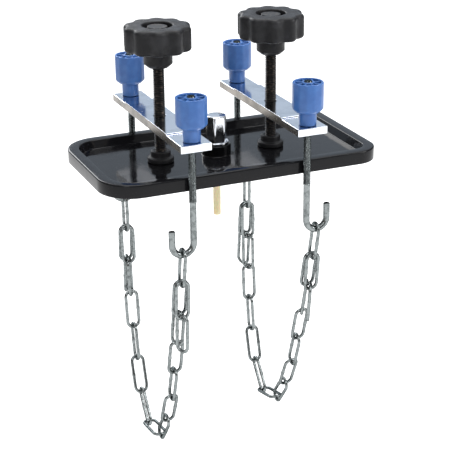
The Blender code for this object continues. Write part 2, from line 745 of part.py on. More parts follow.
def build():
    clear_scene()
    build_cover()
    build_clamp("left", -1, LEFT_HOOK_BOTTOM, LEFT_LOWEST_LINK)
    build_clamp("right", 1, RIGHT_HOOK_BOTTOM, RIGHT_LOWEST_LINK)


build()
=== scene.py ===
import json
import math

import bmesh
import bpy
import numpy as np
from mathutils import Matrix, Vector


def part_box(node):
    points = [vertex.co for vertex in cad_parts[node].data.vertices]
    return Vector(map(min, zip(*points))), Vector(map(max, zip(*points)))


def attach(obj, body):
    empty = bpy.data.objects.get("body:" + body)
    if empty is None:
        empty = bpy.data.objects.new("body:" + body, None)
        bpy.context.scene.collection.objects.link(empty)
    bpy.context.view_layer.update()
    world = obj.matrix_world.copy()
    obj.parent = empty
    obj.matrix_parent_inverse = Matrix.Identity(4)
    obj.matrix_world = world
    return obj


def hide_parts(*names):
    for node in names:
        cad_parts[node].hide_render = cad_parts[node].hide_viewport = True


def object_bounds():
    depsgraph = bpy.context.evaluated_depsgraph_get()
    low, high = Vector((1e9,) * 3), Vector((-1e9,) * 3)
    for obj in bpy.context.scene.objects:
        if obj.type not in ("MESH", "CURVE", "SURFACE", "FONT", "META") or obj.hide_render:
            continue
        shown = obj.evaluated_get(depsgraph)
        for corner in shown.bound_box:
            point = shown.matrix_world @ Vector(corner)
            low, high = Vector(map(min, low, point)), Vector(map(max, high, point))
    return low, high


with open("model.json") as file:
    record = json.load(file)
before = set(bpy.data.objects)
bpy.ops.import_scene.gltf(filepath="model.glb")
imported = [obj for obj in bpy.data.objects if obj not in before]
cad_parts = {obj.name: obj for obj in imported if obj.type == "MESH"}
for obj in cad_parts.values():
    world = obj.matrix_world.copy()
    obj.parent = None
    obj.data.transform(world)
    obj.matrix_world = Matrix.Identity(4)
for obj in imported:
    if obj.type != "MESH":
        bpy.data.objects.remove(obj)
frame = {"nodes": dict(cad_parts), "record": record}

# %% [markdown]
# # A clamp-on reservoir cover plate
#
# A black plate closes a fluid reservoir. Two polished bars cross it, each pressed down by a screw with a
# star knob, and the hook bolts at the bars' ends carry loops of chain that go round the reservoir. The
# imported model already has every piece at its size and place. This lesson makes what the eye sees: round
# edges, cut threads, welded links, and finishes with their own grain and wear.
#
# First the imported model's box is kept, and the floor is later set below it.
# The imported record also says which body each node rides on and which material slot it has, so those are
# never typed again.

MM = 0.001
FULL_TURN = 2 * math.pi
HALF_HEX_SIDE = FULL_TURN / 12
cad_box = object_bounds()
record = frame["record"]
body_of = {node: body for body, nodes in record["behaviour"]["bodies"].items() for node in nodes}
slot_of = {part["node"]: part["material_slot"] for part in record["subparts"]}

# %% [markdown]
# ## Camera
#
# A long lens from the front left, a little above the plate, keeps the bars nearly parallel, as catalogue
# pictures do. It is placed by where it stands, which way it looks and how far it rolls. A Track To
# constraint would be shorter, but it can't roll, and a hand-held camera always rolls a little.

# %% Camera
LENS_MM = 110.4
CAMERA_PLACE = Vector((-346.5, -826.0, 311.0)) * MM
CAMERA_YAW = math.radians(23.1)
CAMERA_PITCH = math.radians(21.75)
CAMERA_ROLL = math.radians(-0.57)

level = Vector((math.cos(CAMERA_YAW), -math.sin(CAMERA_YAW), 0))
flat_ahead = Vector((math.sin(CAMERA_YAW), math.cos(CAMERA_YAW), 0))
ahead = flat_ahead * math.cos(CAMERA_PITCH) - Vector((0, 0, math.sin(CAMERA_PITCH)))
right = level * math.cos(CAMERA_ROLL) + level.cross(ahead) * math.sin(CAMERA_ROLL)
camera = bpy.data.objects.new("camera", bpy.data.cameras.new("camera"))
bpy.context.scene.collection.objects.link(camera)
camera.data.lens = LENS_MM
camera.data.clip_end = 30
turned_to = Matrix((right, right.cross(ahead), -ahead)).transposed().to_4x4()
camera.matrix_world = Matrix.Translation(CAMERA_PLACE) @ turned_to
bpy.context.scene.camera = camera
print("camera stands", round(CAMERA_PLACE.length, 3), "m from the plate")

# %% [markdown]
# ## Shader maths as sums
#
# A finish is a small calculation at each point of a surface: some noise, a threshold, a mixture. As
# nodes that is a page of links, so one small class wraps a socket and lets Python's own operators add
# the Math nodes. `1 - mask` works as well as `mask - 1`, because the reflected forms are there too.


# %% A socket that can be used in sums
class Wire:
    """One output socket. An expression on it adds Math nodes to its graph."""

    def __init__(self, graph, socket):
        self.graph, self.socket = graph, socket

    def math(self, operation, other, swapped=False):
        first, second = (other, self) if swapped else (self, other)
        return self.graph.node("ShaderNodeMath", {"operation": operation}, {0: first, 1: second})

    def __add__(self, other):
        return self.math("ADD", other)

    def __sub__(self, other):
        return self.math("SUBTRACT", other)

    def __rsub__(self, other):
        return self.math("SUBTRACT", other, swapped=True)

    def __mul__(self, other):
        return self.math("MULTIPLY", other)

    def over(self, low, high):
        """0 below low, 1 above high, and a smooth rise between."""
        inputs = {"Value": self, "From Min": low, "From Max": high}
        return self.graph.node("ShaderNodeMapRange", {"interpolation_type": "SMOOTHSTEP"}, inputs)

    __radd__ = __add__
    __rmul__ = __mul__


# %% [markdown]
# A `Graph` is a node tree. Its one `node` method makes any node from a type, its settings and the values
# or links of its sockets, and hands back a `Wire`. Settings go first, because some of them decide which
# sockets the node has.


# %% A node tree
class Graph:
    def __init__(self, tree):
        self.tree = tree

    def node(self, kind, settings, inputs, output=0):
        made = self.tree.nodes.new(kind)
        for key, value in settings.items():
            setattr(made, key, value)
        for key, value in inputs.items():
            self.feed(made.inputs[key], value)
        return Wire(self, made.outputs[output])

    def feed(self, socket, value):
        if isinstance(value, Wire):
            self.tree.links.new(value.socket, socket)
        else:
            socket.default_value = value

    def mix(self, share, low, high):
        """A colour between two colours. The colour sockets of a Mix node are its sixth and seventh."""
        ends = {6: low, 7: high}
        opaque = {key: (*end, 1) if isinstance(end, tuple) else end for key, end in ends.items()}
        return self.node("ShaderNodeMix", {"data_type": "RGBA"}, {"Factor": share, **opaque}, output=2)


# %% [markdown]
# A `Finish` is a material: a graph with one Principled shader. Its patterns are read from the object's
# own coordinates, so they stay on a piece as it moves, and sizes are in metres like everything else.


# %% A material
class Finish(Graph):
    def __init__(self, name, **values):
        self.material = bpy.data.materials.new(name)
        self.material.use_nodes = True
        super().__init__(self.material.node_tree)
        self.shader = self.tree.nodes["Principled BSDF"]
        self.place = self.node("ShaderNodeTexCoord", {}, {}, output=3)
        self.set(**values)

    def set(self, **values):
        """Sets the shader's sockets: base_color means Base Color."""
        for key, value in values.items():
            socket = self.shader.inputs[key.replace("_", " ").title().replace("Ior", "IOR")]
            self.feed(socket, (*value, 1) if isinstance(value, tuple) else value)

    def noise(self, grain, detail=3.0, stretch=(1, 1, 1)):
        """Noise whose grains are this many metres across. It stays near a half."""
        where = self.node("ShaderNodeVectorMath", {"operation": "DIVIDE"}, {0: self.place, 1: stretch})
        return self.node("ShaderNodeTexNoise", {}, {"Vector": where, "Scale": 1 / grain, "Detail": detail})

    def cells(self, grain):
        """The distance to the nearest of a scatter of points, in grains."""
        return self.node("ShaderNodeTexVoronoi", {}, {"Vector": self.place, "Scale": 1 / grain})

    def bump(self, height, depth):
        """A bump whose height runs from 0 to depth metres."""
        self.set(normal=self.node("ShaderNodeBump", {}, {"Height": height, "Distance": depth}))


finishes = {}
print("shader helpers ready")

# %% [markdown]
# ## Studio
#
# Polished metal shows only what is round it, so the room matters as much as the lamps. Overhead it is
# bright, behind the object stands a pale cool wall, and the rest is dark, a little warmer to the left.
# So the bars' long sides come out darker than their tops. A plain white room would leave the metal flat.

# %% World
CEILING = (0.95, 0.97, 1.0)
BACK_WALL = (0.58, 0.66, 0.76)
DARK_WALL = (0.07, 0.07, 0.075)
LEFT_WALL = (0.17, 0.145, 0.12)

world = bpy.data.worlds.new("studio")
bpy.context.scene.world = world
world.use_nodes = True
room = Graph(world.node_tree)
looking = room.node("ShaderNodeTexCoord", {}, {})
across = room.node("ShaderNodeSeparateXYZ", {}, {0: looking})
upward = Wire(room, across.socket.node.outputs[2])
depthward = Wire(room, across.socket.node.outputs[1])
sides = room.mix((0 - across).over(0.2, 0.8), DARK_WALL, LEFT_WALL)
walls = room.mix(depthward.over(0.45, 0.75), sides, BACK_WALL)
shade = room.mix(upward.over(0.35, 0.75), walls, CEILING)
room.feed(world.node_tree.nodes["Background"].inputs["Color"], shade)
bpy.context.scene.view_settings.view_transform = "Standard"
print("room made with", len(world.node_tree.nodes), "nodes")

# %% [markdown]
# Four area lamps light the object, all aimed at its middle. Their squares are what shows as highlights
# in the glossy plate and on the metal, so each one's size matters as much as its power.

# %% Lamps
LAMPS = {
    "overhead": {"place": (0.2, 0.2, 1.3), "size": 1.0, "watts": 14},
    "front_right": {"place": (1.1, -1.0, 0.7), "size": 0.7, "watts": 14},
    "front_left": {"place": (-0.9, -1.1, 0.8), "size": 0.4, "watts": 5},
    "behind": {"place": (-0.1, 1.4, 0.7), "size": 0.7, "watts": 10},
}
for name, lamp in LAMPS.items():
    light = bpy.data.objects.new(name, bpy.data.lights.new(name, "AREA"))
    bpy.context.scene.collection.objects.link(light)
    light.data.size = lamp["size"]
    light.data.energy = lamp["watts"]
    light.location = lamp["place"]
    light.rotation_mode = "QUATERNION"
    light.rotation_quaternion = (-light.location).to_track_quat("-Z", "Y")
print("lamps:", ", ".join(LAMPS))

# %% [markdown]
# The plate hangs in the air here, because what holds it up is the reservoir. The floor is far enough
# below the chains to keep their shadows soft and faint. It glows a little, as a lit table does, so that
# it stays white.

# %% Floor
FLOOR_Z = cad_box[0][2] - 60 * MM
FLOOR_HALF = 8.0

backing = Finish("lit table", base_color=(0.55, 0.55, 0.55), roughness=0.9, specular_ior_level=0.0)
backing.set(emission_color=(1.0, 1.0, 1.0), emission_strength=0.75)
corners = [(x * FLOOR_HALF, y * FLOOR_HALF, FLOOR_Z) for x, y in ((-1, -1), (1, -1), (1, 1), (-1, 1))]
floor_mesh = bpy.data.meshes.new("floor")
floor_mesh.from_pydata(corners, [], [(0, 1, 2, 3)])
floor_mesh.materials.append(backing.material)
floor = bpy.data.objects.new("floor", floor_mesh)
bpy.context.scene.collection.objects.link(floor)
print("floor at", round(FLOOR_Z, 3), "m")

# %% [markdown]
# ## Finishes
#
# The cover plate is moulded in glossy black plastic. Such a skin isn't quite flat: it carries a soft
# ripple, duller patches, fine handling scratches and a little dust. Its gloss would be a mirror without
# them.

# %% Gloss black plastic
gloss = Finish("gloss black plastic", specular_ior_level=0.17)
ripple = gloss.noise(9 * MM, detail=1.5)
scratches = gloss.noise(0.5 * MM, detail=4, stretch=(14, 1, 1)).over(0.60, 0.72)
dull = gloss.noise(22 * MM, detail=5).over(0.45, 0.70)
dust = 1 - gloss.cells(2.6 * MM).over(0.05, 0.12)
gloss.set(roughness=0.07 + dull * 0.09 + scratches * 0.10 + dust * 0.2)
gloss.set(base_color=gloss.mix(dust * 0.4 + scratches * 0.08, (0.006, 0.006, 0.007), (0.05, 0.05, 0.055)))
gloss.bump(ripple + scratches * 0.03, 0.09 * MM)
finishes["gloss_black"] = gloss

# %% [markdown]
# The star knobs and the clamp feet are black plastic from a spark-eroded mould, which leaves an even
# fine grain that scatters the light. Handling has burnished it unevenly.

# %% Matte black plastic
matte = Finish("matte black plastic", specular_ior_level=0.22)
grain = matte.noise(0.45 * MM, detail=2)
handled = matte.noise(9 * MM, detail=4).over(0.42, 0.68)
matte.set(base_color=matte.mix(handled, (0.009, 0.009, 0.010), (0.018, 0.018, 0.020)))
matte.set(roughness=0.44 - handled * 0.12 + grain * 0.08)
matte.bump(grain, 0.09 * MM)
finishes["matte_black"] = matte

# %% [markdown]
# The bars and the hose fitting are ground and polished steel. Grinding leaves fine lines along the bar,
# and polishing leaves them shallow, so reflections stay clear but streak a little. A few dull spots come
# from fingers and fluid. The bars' long sides are made duller and get a painted shade: a darker, browner
# colour standing in for the shade they fall in. The direction of a face along X picks those out, and with
# them two of the hexagon's flats, which get the same painted shade.

# %% Polished steel
steel = Finish("polished steel", metallic=1.0, specular_tint=(0.80, 0.82, 0.85))
lines = steel.noise(0.25 * MM, detail=3, stretch=(1, 60, 1))
cloud = steel.noise(14 * MM, detail=4).over(0.40, 0.70)
spots = 1 - steel.cells(5.5 * MM).over(0.05, 0.14)
facing = steel.node("ShaderNodeSeparateXYZ", {}, {0: steel.node("ShaderNodeTexCoord", {}, {}, output=1)})
# painted shade mask: faces turned along X, the bars' long sides and two of the hexagon's flats
side_shade_mask = (facing * facing).over(0.80, 0.95)
polished = steel.mix(cloud, (0.88, 0.90, 0.94), (0.74, 0.77, 0.82))
# painted shade: the darker, browner colour those faces get
painted_side_shade = steel.mix(cloud, (0.30, 0.27, 0.235), (0.22, 0.20, 0.175))
steel.set(base_color=steel.mix(side_shade_mask, polished, painted_side_shade))
steel.set(roughness=0.06 + cloud * 0.07 + lines * 0.05 + spots * 0.18 + side_shade_mask * 0.16)
steel.bump(lines + cloud * 0.5, 0.012 * MM)
finishes["polished_steel"] = steel

# %% [markdown]
# The clamp screws are blackened in a hot oxide bath. It colours the steel without covering it, so the
# patches that the bar and the hand rub come out a little lighter and browner than the rest.

# %% Black oxide
oxide = Finish("black oxide steel", metallic=0.75)
rubbed = oxide.noise(2.4 * MM, detail=5, stretch=(1, 1, 0.5)).over(0.50, 0.72)
speckle = oxide.noise(0.5 * MM, detail=2)
oxide.set(base_color=oxide.mix(rubbed, (0.022, 0.021, 0.021), (0.13, 0.105, 0.085)))
oxide.set(roughness=0.34 + speckle * 0.12)
oxide.bump(speckle, 0.03 * MM)
finishes["black_oxide"] = oxide

# %% [markdown]
# Hook bolts and chains are zinc plated. Bright zinc is bluish, and a clear passivation gives it a
# green-grey tint with darker blots where the bath drained off, and with small dark pits. Thin wire shows
# mostly its edges, so the edge's reflection is toned down as well as the colour.

# %% Zinc plate
zinc = Finish("zinc plated steel", metallic=1.0, specular_tint=(0.12, 0.125, 0.125))
blots = zinc.noise(2.6 * MM, detail=6).over(0.44, 0.70)
pits = 1 - zinc.cells(1.5 * MM).over(0.06, 0.22)
fine = zinc.noise(0.35 * MM, detail=3)
plate_tint = zinc.mix(blots, (0.25, 0.27, 0.27), (0.15, 0.165, 0.165))
zinc.set(base_color=zinc.mix(pits * 0.5, plate_tint, (0.07, 0.075, 0.075)))
zinc.set(roughness=0.17 + blots * 0.16 + fine * 0.08)
zinc.bump(fine * 0.6 + blots * 0.4 - pits * 0.5, 0.05 * MM)
finishes["zinc"] = zinc

# %% [markdown]
# The thumb nuts are moulded in blue plastic with a satin surface. Flow lines from the moulding run up
# the body, and the pigment is a little uneven.

# %% Blue plastic
blue = Finish("blue satin plastic", specular_ior_level=0.5)
pigment = blue.noise(5 * MM, detail=4).over(0.35, 0.70)
flow = blue.noise(0.9 * MM, detail=3, stretch=(1, 1, 7))
blue.set(base_color=blue.mix(pigment, (0.030, 0.105, 0.320), (0.040, 0.130, 0.370)))
blue.set(roughness=0.34 + flow * 0.10)
blue.bump(flow + pigment * 0.4, 0.06 * MM)
finishes["blue_plastic"] = blue

# %% [markdown]
# The remaining finishes are the dip tube, a pale translucent plastic that yellows, the gasket's rubber
# sheet with the weave of the cloth it was pressed against, and the washer's pressed red fibre.

# %% Tube plastic, rubber and fibre
tube_skin = Finish("yellowed tube plastic", roughness=0.3, subsurface_weight=0.35, subsurface_scale=0.002)
aged = tube_skin.noise(7 * MM, detail=3, stretch=(1, 1, 3)).over(0.35, 0.70)
tube_skin.set(base_color=tube_skin.mix(aged, (0.80, 0.70, 0.43), (0.70, 0.58, 0.32)))
tube_skin.bump(tube_skin.noise(1.2 * MM, detail=2, stretch=(1, 1, 6)), 0.04 * MM)
finishes["tube_plastic"] = tube_skin

rubber = Finish("black rubber", specular_ior_level=0.3)
wear = rubber.noise(11 * MM, detail=5).over(0.40, 0.70)
rubber.set(base_color=rubber.mix(wear, (0.017, 0.017, 0.017), (0.032, 0.031, 0.030)))
rubber.set(roughness=0.85 - wear * 0.15)
weave = rubber.node("ShaderNodeTexBrick", {}, {"Vector": rubber.place, "Scale": 500.0}, output=1)
rubber.bump(weave + rubber.noise(0.5 * MM) * 0.6, 0.05 * MM)
finishes["black_rubber"] = rubber

fibre = Finish("pressed red fibre", roughness=0.75)
strands = fibre.noise(0.6 * MM, detail=5, stretch=(4, 1, 1))
fibre.set(base_color=fibre.mix(strands.over(0.35, 0.65), (0.30, 0.06, 0.04), (0.42, 0.12, 0.08)))
fibre.bump(strands, 0.06 * MM)
finishes["fibre"] = fibre
print(len(finishes), "finishes:", ", ".join(finishes))

# %% [markdown]
# ## Shapes from rings
#
# Nearly every piece here is turned, moulded or drawn, so it is a stack of rings: points that go once
# round, joined to the next ring by four-sided faces. A stack either has flat caps at its ends or closes
# on itself, as a tyre does. Joining rings in a loop of code is exact, where a Screw modifier would need
# its profile drawn first.


# %% Ring stacks
def skin(name, stacks):
    """A mesh object from stacks of rings. A stack is (rings, closed), and its rings all have one count."""
    shape = bmesh.new()
    for rings, closed in stacks:
        loops = [[shape.verts.new(point) for point in ring] for ring in rings]
        pairs = list(zip(loops, loops[1:]))
        if closed:
            pairs.append((loops[-1], loops[0]))
        else:
            shape.faces.new(loops[0])
            shape.faces.new(loops[-1])
        for low, high in pairs:
            for i in range(len(low)):
                shape.faces.new((low[i - 1], low[i], high[i], high[i - 1]))
    bmesh.ops.recalc_face_normals(shape, faces=shape.faces)
    mesh = bpy.data.meshes.new(name)
    shape.to_mesh(mesh)
    shape.free()
    mesh.shade_smooth()
    mesh.set_sharp_from_angle(angle=math.radians(32))
    piece = bpy.data.objects.new(name, mesh)
    bpy.context.scene.collection.objects.link(piece)
    return piece


def stand_in(node, *stacks):
    """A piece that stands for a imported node, with that node's slot, and that rides on its body."""
    piece = skin(f"{node}_surface", stacks)
    piece.data.materials.append(finishes[slot_of[node]].material)
    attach(piece, body_of[node])
    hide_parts(node)
    return piece


print("ring stacks ready")


# %% [markdown]
# No moulded or machined edge is quite sharp: the small round on it is what catches the light. So a
# profile is written as its corners, each with the radius of its round, and `eased` puts an arc at each
# one.


# %% Eased corners
def eased(corners, steps=4):
    """A path through (a, b, radius) corners, each rounded by an arc. The two ends stay as they are."""
    path = [Vector(corners[0][:2])]
    for before, (a, b, radius), after in zip(corners, corners[1:], corners[2:]):
        here = Vector((a, b))
        if not radius:
            path.append(here)
            continue
        back = (Vector(before[:2]) - here).normalized()
        onward = (Vector(after[:2]) - here).normalized()
        half = back.angle(onward) / 2
        middle = here + (back + onward).normalized() * radius / math.sin(half)
        start, end = here + back * radius / math.tan(half), here + onward * radius / math.tan(half)
        for step in range(steps + 1):
            spoke = (start - middle).lerp(end - middle, step / steps)
            path.append(middle + spoke.normalized() * radius)
    return path + [Vector(corners[-1][:2])]


def round_ring(radius, z, sides, middle=(0, 0), reach=None):
    """A ring round Z. reach changes the radius with the angle, for hexagons and lobes."""
    ring = []
    for i in range(sides):
        angle = FULL_TURN * i / sides
        out = reach(radius, angle) if reach else radius
        ring.append((middle[0] + out * math.cos(angle), middle[1] + out * math.sin(angle), z))
    return ring


def turned(corners, base_z, sides, middle=(0, 0), reach=None, steps=4):
    """The rings of a profile of (radius, height, round) corners."""
    path = eased(corners, steps)
    return [round_ring(radius, base_z + z, sides, middle, reach) for radius, z in path]


def hexagon(radius, angle):
    """A hexagon's reach where radius is half the distance across its flats."""
    from_flat = angle % (FULL_TURN / 6) - HALF_HEX_SIDE
    return radius / math.cos(from_flat)


print("rounding a square corner makes", len(eased([(0, 0, 0), (1, 0, 0.2), (1, 1, 0)])), "points")

# %% [markdown]
# ## The cover plate
#
# The plate is a shallow moulded tray. Its left corners are rounder than its right ones, its rim is flat
# and broad, and a boss in the middle carries the hose fitting. The outline is worked out from the packed
# node's box, and every ring of it is that outline moved inwards by some inset and set at some height.

# %% Plate outline
plate_low, plate_high = (Vector(corner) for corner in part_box("cover_plate"))
LEFT_CORNER = 24 * MM
RIGHT_CORNER = 17 * MM
ARC_STEPS = 20
EDGE_POINTS = 12


def plate_ring(inset, z):
    """The plate's outline, moved inwards."""
    right, left = (plate_high.x, -1, RIGHT_CORNER), (plate_low.x, 1, LEFT_CORNER)
    arcs = []
    for number, (side_y, end) in enumerate(((1, right), (1, left), (-1, left), (-1, right))):
        end_x, inwards, full_radius = end
        radius = full_radius - inset
        middle_x = end_x + inwards * full_radius
        middle_y = side_y * (plate_high.y - full_radius)
        for step in range(ARC_STEPS + 1):
            angle = FULL_TURN / 4 * (number + step / ARC_STEPS)
            point = (middle_x + radius * math.cos(angle), middle_y + radius * math.sin(angle), z)
            arcs.append(Vector(point))
    ring = []
    for i, point in enumerate(arcs):
        ring.append(point)
        if i % (ARC_STEPS + 1) == ARC_STEPS:
            following = arcs[(i + 1) % len(arcs)]
            ring.extend(point.lerp(following, k / EDGE_POINTS) for k in range(1, EDGE_POINTS))
    return ring


def facing_ring(outline, radius, z):
    """A circle with a point towards each point of an outline round it."""
    angles = [math.atan2(point.y, point.x) for point in outline]
    return [(radius * math.cos(a), radius * math.sin(a), z) for a in angles]


print("outline of", len(plate_ring(0, 0)), "points")

# %% [markdown]
# The profile goes from the underside over the rim and down the sloped wall to the tray's floor. There it
# changes from outline to circle, climbs the boss and goes down the bore. The floor between the two is
# flat, so nothing shows where they meet.

# %% Cover plate
RIM_WIDTH = 7.5 * MM
TRAY_DEPTH = 5.5 * MM
WALL_FOOT = 10 * MM
FLOOR_INSET = 14 * MM
BOSS_RADIUS = 10 * MM
BOSS_SURROUND = 2 * MM
BOSS_HEIGHT = 7.5 * MM
STEM_BORE = 5.9 * MM
PLATE_SIDE_HEIGHT = 9 * MM

seat_z = plate_low.z
rim_z = seat_z + PLATE_SIDE_HEIGHT
tray_z = rim_z - TRAY_DEPTH
boss_z = tray_z + BOSS_HEIGHT
outside = eased([
    (FLOOR_INSET, seat_z, 0),
    (0, seat_z, 0.5 * MM),
    (0, rim_z, 1.0 * MM),
    (RIM_WIDTH, rim_z, 0.9 * MM),
    (WALL_FOOT, tray_z, 0.8 * MM),
    (FLOOR_INSET, tray_z, 0),
])
inside = eased([
    (BOSS_RADIUS + BOSS_SURROUND, tray_z, 0),
    (BOSS_RADIUS, tray_z, 0.8 * MM),
    (BOSS_RADIUS, boss_z, 0.9 * MM),
    (STEM_BORE, boss_z, 0.3 * MM),
    (STEM_BORE, seat_z, 0),
])
plate_rings = [plate_ring(inset, z) for inset, z in outside]
plate_rings += [facing_ring(plate_rings[0], radius, z) for radius, z in inside]
stand_in("cover_plate", (plate_rings, True))
print("cover plate", len(plate_rings), "rings")

# %% [markdown]
# Under the plate lies a flat rubber sheet, die-cut with a hole in the middle. Its cut edges are nearly
# square. The washer is fibre, and both are only seen from below.

# %% Gasket and washer
GASKET_INSET = 10 * MM
GASKET_HOLE = 13 * MM
GASKET_SURROUND = 4 * MM
CUT_EASE = 0.3 * MM
WASHER_SIDES = 64
gasket_low, gasket_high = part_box("rubber_gasket")
sheet = eased([
    (GASKET_INSET + GASKET_SURROUND, gasket_low[2], 0),
    (GASKET_INSET, gasket_low[2], CUT_EASE),
    (GASKET_INSET, gasket_high[2], CUT_EASE),
    (GASKET_INSET + GASKET_SURROUND, gasket_high[2], 0),
])
sheet_rings = [plate_ring(inset, z) for inset, z in sheet]
sheet_rings += [facing_ring(sheet_rings[0], GASKET_HOLE, z) for z in (gasket_high[2], gasket_low[2])]
stand_in("rubber_gasket", (sheet_rings, True))

washer_low, washer_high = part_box("sealing_washer")
washer_radius = washer_high[0]
washer = turned([
    (STEM_BORE, washer_high[2], 0),
    (STEM_BORE, washer_low[2], 0),
    (washer_radius, washer_low[2], CUT_EASE),
    (washer_radius, washer_high[2], CUT_EASE),
    (STEM_BORE + 1 * MM, washer_high[2], 0),
], 0, WASHER_SIDES)
stand_in("sealing_washer", (washer, True))
print("gasket and washer made")

# %% [markdown]
# ## Threads
#
# A thread is a ring stack whose radius follows a helix: the further round and the further down, the
# further the profile has moved along. With a ring every sixth of a pitch the flanks come out as smooth
# slopes. Crests and roots are flat, as a rolled thread's are, each for a sixth of the pitch.

# %% Threads
RINGS_PER_PITCH = 6
THREAD_DEPTH_SHARE = 0.54
THREAD_SIDES = 28
FLANK_SLOPE = 1.5
FLANK_START = 0.25


def thread_radius(radius, pitch, angle, z):
    """The radius of a right-hand thread at an angle and a height."""
    along = (z / pitch - angle / FULL_TURN) % 1
    valley = min(max(FLANK_SLOPE * (1 - abs(2 * along - 1)) - FLANK_START, 0), 1)
    return radius - THREAD_DEPTH_SHARE * pitch * valley


def threaded_rings(radius, pitch, low_z, high_z, middle):
    """Rings of a thread. It fades out over one pitch at both ends."""
    count = max(2, round((high_z - low_z) / pitch * RINGS_PER_PITCH))
    rings = []
    for k in range(count + 1):
        z = low_z + (high_z - low_z) * k / count
        depth = min(1, (z - low_z) / pitch, (high_z - z) / pitch)

        def reach(full, angle, z=z, depth=depth):
            return full + (thread_radius(full, pitch, angle, z) - full) * depth

        rings.append(round_ring(radius, z, THREAD_SIDES, middle, reach))
    return rings


print("a pitch of thread takes", RINGS_PER_PITCH * THREAD_SIDES, "faces")

# %% [markdown]
# ## The hose fitting
#
# The fitting is turned from hexagon bar: a flange, a tall hexagon with its corners turned down at the
# top, and a threaded stem below that a locknut pulls tight against the washer. Its last length is a
# plain spigot that the dip tube pushes into.

# %% Hose fitting and locknut
FITTING_FLAT = 6.5 * MM
FLANGE_THICKNESS = 1.4 * MM
FLANGE_GAP = 0.3 * MM
FLANGE_CORE = 0.5 * MM
CORNER_WEAR = 0.12 * MM
STEM_LENGTH = 9 * MM
STEM_RADIUS = 5.6 * MM
STEM_PITCH = 1.5 * MM
SPIGOT_RADIUS = 4.4 * MM
SPIGOT_WALL = 1.3 * MM
HEX_SIDES = 96

fitting_low, fitting_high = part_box("hose_fitting")
flange_radius = fitting_high[0]
flange_z = boss_z + FLANGE_GAP
hex_z = flange_z + FLANGE_THICKNESS
hex_top = fitting_high[2]
corner_radius = FITTING_FLAT / math.cos(HALF_HEX_SIDE)


def chamfered(limit):
    """A hexagon whose corners are turned down to a radius."""
    return lambda radius, angle: min(hexagon(radius, angle), limit)


flange = turned([
    (FLANGE_CORE, flange_z, 0),
    (flange_radius, flange_z, 0.2 * MM),
    (flange_radius, hex_z, 0.6 * MM),
    (FLANGE_CORE, hex_z, 0),
], 0, HEX_SIDES)
column = [
    round_ring(FITTING_FLAT, z, HEX_SIDES, reach=chamfered(limit))
    for z, limit in (
        (hex_z - 0.1 * MM, corner_radius - CORNER_WEAR),
        (hex_top - 0.9 * MM, corner_radius - CORNER_WEAR),
        (hex_top - 0.6 * MM, corner_radius - 0.35 * MM),
        (hex_top - 0.15 * MM, FITTING_FLAT - 0.05 * MM),
        (hex_top, FITTING_FLAT - 0.35 * MM),
    )
]
stem_z = seat_z - STEM_LENGTH
stem = threaded_rings(STEM_RADIUS, STEM_PITCH, stem_z, flange_z, (0, 0))
spigot = turned([
    (SPIGOT_RADIUS - SPIGOT_WALL, fitting_low[2], 0),
    (SPIGOT_RADIUS, fitting_low[2], 0.4 * MM),
    (SPIGOT_RADIUS, stem_z + 0.5 * MM, 0),
], 0, THREAD_SIDES)
stand_in("hose_fitting", (flange, False), (column, False), (stem, False), (spigot, False))

nut_low, nut_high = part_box("fitting_locknut")
LOCKNUT_FLAT = 8.5 * MM
LOCKNUT_CHAMFER = 0.7 * MM
locknut_corner = LOCKNUT_FLAT / math.cos(HALF_HEX_SIDE)
locknut = [round_ring(STEM_BORE, z, HEX_SIDES) for z in (nut_high[2], nut_low[2])]
locknut += [
    round_ring(LOCKNUT_FLAT, z, HEX_SIDES, reach=chamfered(limit))
    for z, limit in (
        (nut_low[2], LOCKNUT_FLAT),
        (nut_low[2] + LOCKNUT_CHAMFER, locknut_corner),
        (nut_high[2] - LOCKNUT_CHAMFER, locknut_corner),
        (nut_high[2], LOCKNUT_FLAT),
    )
]
stand_in("fitting_locknut", (locknut, True))
print("fitting", round((fitting_high[2] - fitting_low[2]) / MM, 1), "mm tall")

# %% [markdown]
# The dip tube is soft plastic cut off square with a knife, so its end has an edge but no round.

# %% Dip tube
tube_low, tube_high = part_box("dip_tube")
TUBE_RADIUS = 2.65 * MM
TUBE_INNER = 1.85 * MM
TUBE_SIDES = 40
tube = turned([
    (TUBE_INNER, tube_high[2], 0),
    (TUBE_INNER, tube_low[2], 0),
    (TUBE_RADIUS, tube_low[2], 0.12 * MM),
    (TUBE_RADIUS, tube_high[2], 0),
], 0, TUBE_SIDES)
stand_in("dip_tube", (tube, True))
print("dip tube", round((tube_high[2] - tube_low[2]) / MM, 1), "mm long")

# %% [markdown]
# ## Clamp bars
#
# Each bar is flat stock with its two ends milled down a step, so that the thumb nuts sit level. It is
# drawn from the side and pulled out to its width. Its three holes are cut with a Boolean, and one Bevel
# then eases every edge, the holes' rims too, which would be slow to work out point by point.

# %% Clamp bars
BAR_STEP = 1 * MM
BAR_STEP_INSET = 17.5 * MM
BAR_EASE = 0.4 * MM
SCREW_HOLE = 4.2 * MM
ROD_HOLE = 2.8 * MM
HOLE_SIDES = 48
SIDES = {"left": -1, "right": 1}


def centre_of(node):
    low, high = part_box(node)
    return (Vector(low) + Vector(high)) / 2


def hook_axis(side, end):
    """Where a hook bolt's rod stands: on its thumb nut's axis."""
    middle = centre_of(f"{side}_{end}_thumb_nut")
    return middle.x, middle.y


def bar_profile(low, high, step_y):
    """(y, z) corners of the bar from the side."""
    end_z = high[2] - BAR_STEP
    return [
        (low[1], low[2]),
        (high[1], low[2]),
        (high[1], end_z),
        (step_y, end_z),
        (step_y, high[2]),
        (-step_y, high[2]),
        (-step_y, end_z),
        (low[1], end_z),
    ]


def bake(piece):
    """Applies a piece's modifiers to its mesh."""
    evaluated = piece.evaluated_get(bpy.context.evaluated_depsgraph_get())
    solid = bpy.data.meshes.new_from_object(evaluated)
    piece.modifiers.clear()
    piece.data = solid


